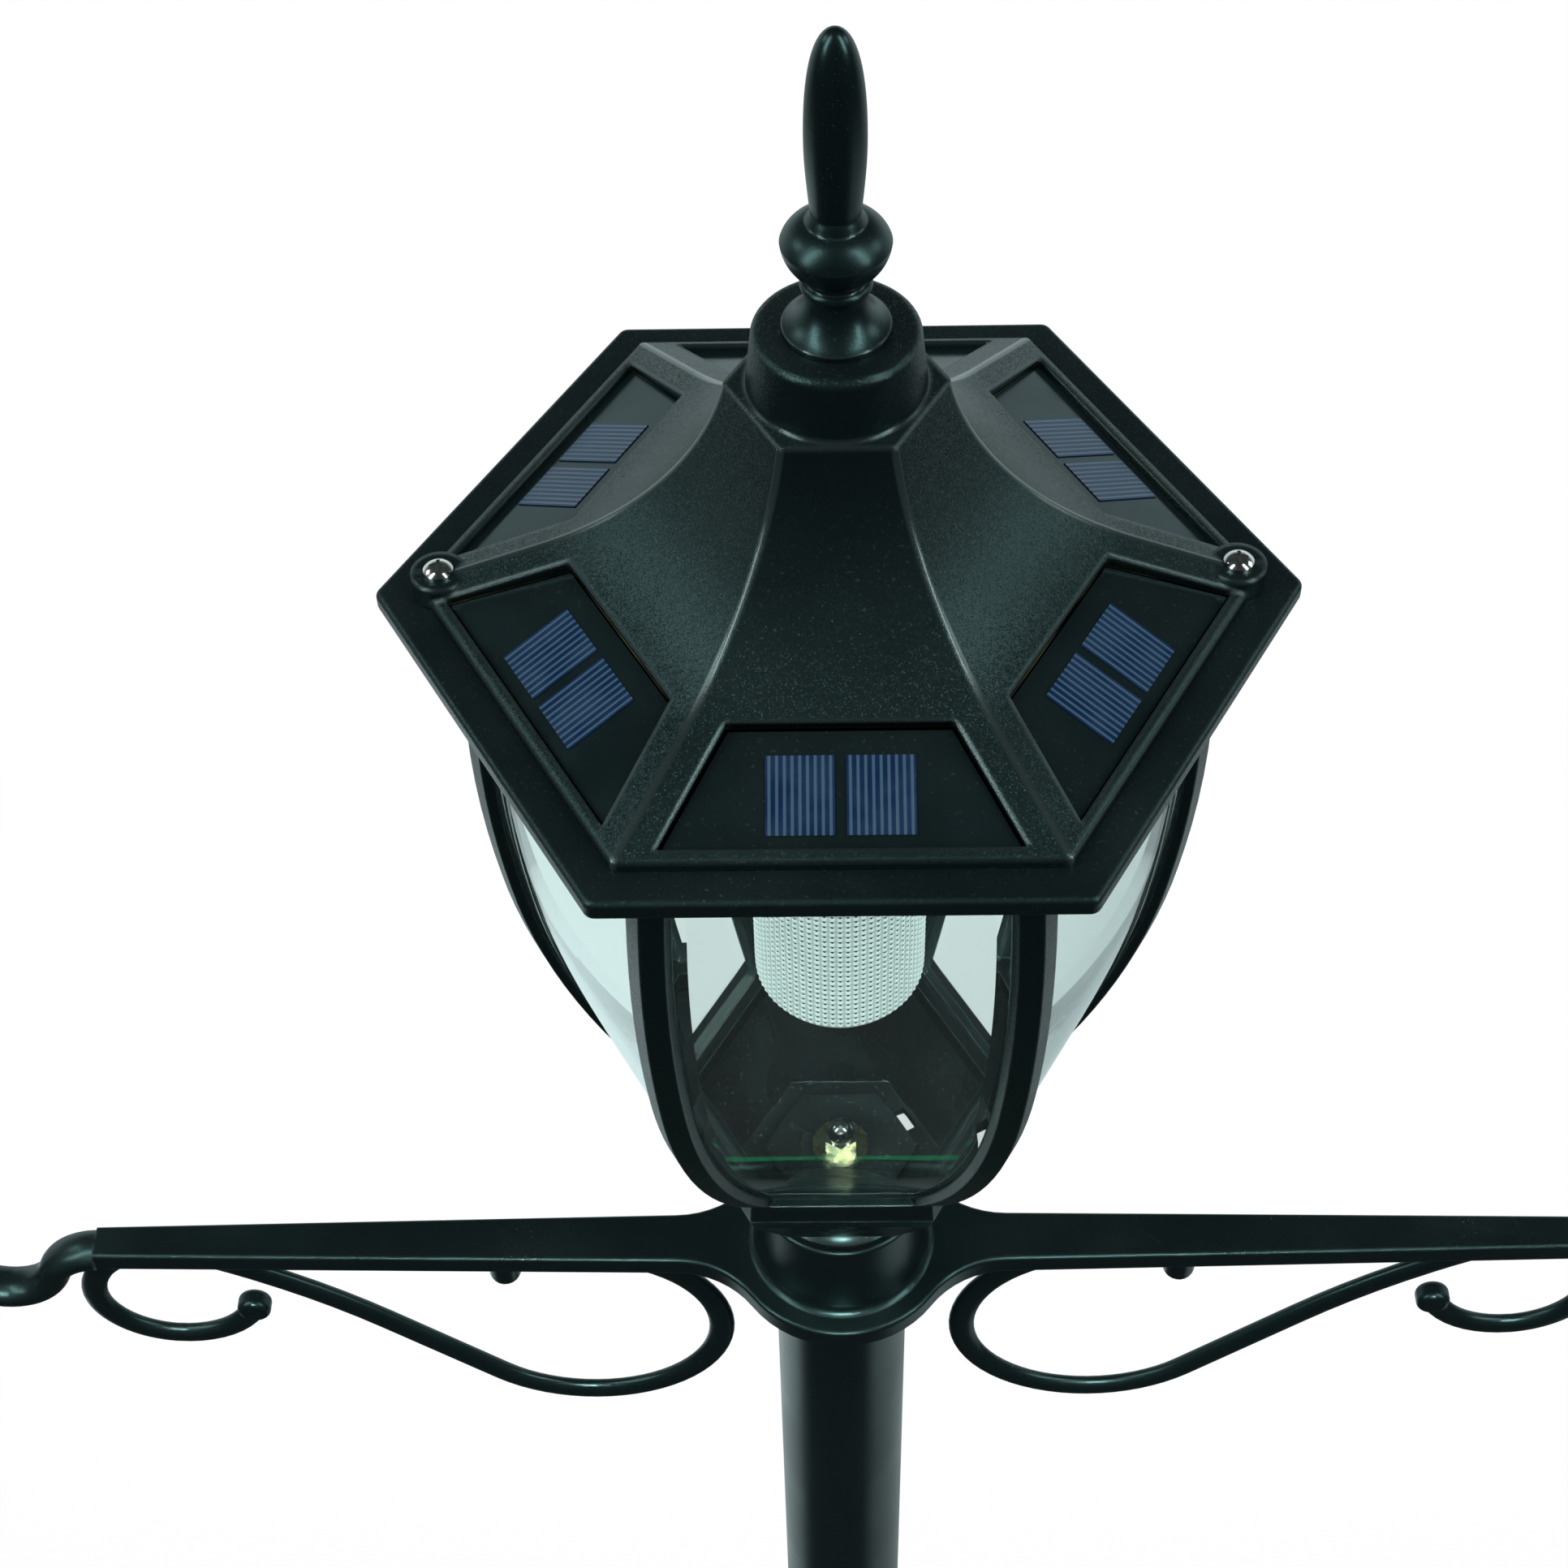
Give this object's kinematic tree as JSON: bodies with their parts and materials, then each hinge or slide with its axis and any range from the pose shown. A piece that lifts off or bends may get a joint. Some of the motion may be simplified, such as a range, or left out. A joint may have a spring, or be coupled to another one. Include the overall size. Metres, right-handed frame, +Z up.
{
  "type": "solar lamp post",
  "caption": "Hexagonal solar lantern on a round post: bell-shaped roof with recessed solar cells, bent glass panes, scrolled hanger arms ending in hooks, round base.",
  "frame": {"origin": "centre of the underside of the base", "axes": "+Z up along the post, X along the hanger arms, -Y to the front"},
  "size_m": [0.6412, 0.27, 1.7484],
  "materials": {
    "satin_black": "smooth satin black powder coat",
    "gloss_black": "glossy black paint",
    "sand_black": "fine sand-textured matte black",
    "sand_black_metal": "fine sand-textured matte black paint",
    "pane_glass": "clear bevelled glass with green edges",
    "panel_laminate": "glossy black laminate",
    "cell_silicon": "blue silicon with pale collector lines",
    "lens_clear": "clear prismatic plastic",
    "nickel": "bright nickel plate",
    "yellow_zinc": "yellow zinc plate",
    "plain_steel": "bright steel",
    "inner_black": "moulded matte black",
    "board_green": "green circuit board",
    "board_white": "white circuit board",
    "led_resin": "yellow-coated diode",
    "battery_sleeve": "blue shrink sleeve",
    "slider_white": "white moulded plastic"
  },
  "bodies": {
    "lamp": {"post": "satin_black", "base_flange": "satin_black", "hanger_arm": "satin_black", "finial": "satin_black", "base_cup": "gloss_black", "roof_cap": "sand_black", "lantern_cage": "sand_black_metal", "glass_pane_1": "pane_glass", "glass_pane_2": "pane_glass", "glass_pane_3": "pane_glass", "glass_pane_4": "pane_glass", "glass_pane_5": "pane_glass", "glass_pane_6": "pane_glass", "solar_panel_1": "panel_laminate", "solar_panel_2": "panel_laminate", "solar_panel_3": "panel_laminate", "solar_panel_4": "panel_laminate", "solar_panel_5": "panel_laminate", "solar_panel_6": "panel_laminate", "solar_cells_1": "cell_silicon", "solar_cells_2": "cell_silicon", "solar_cells_3": "cell_silicon", "solar_cells_4": "cell_silicon", "solar_cells_5": "cell_silicon", "solar_cells_6": "cell_silicon", "lens": "lens_clear", "roof_screw_left": "nickel", "roof_screw_right": "nickel", "acorn_nut": "nickel", "washer": "yellow_zinc", "tie_stud": "plain_steel", "post_plug": "plain_steel", "plate_screws": "plain_steel", "cover_plate": "inner_black", "battery_holder": "inner_black", "switch_body": "inner_black", "control_board": "board_green", "led_board": "board_white", "leds": "led_resin", "battery": "battery_sleeve"},
    "slider": {"switch_slider": "slider_white"}
  },
  "joints": [
    {"name": "power_switch", "type": "slide", "parent": "lamp", "child": "slider", "axis": [1, 0, 0], "range_m": [0, 0.004]}
  ]
}
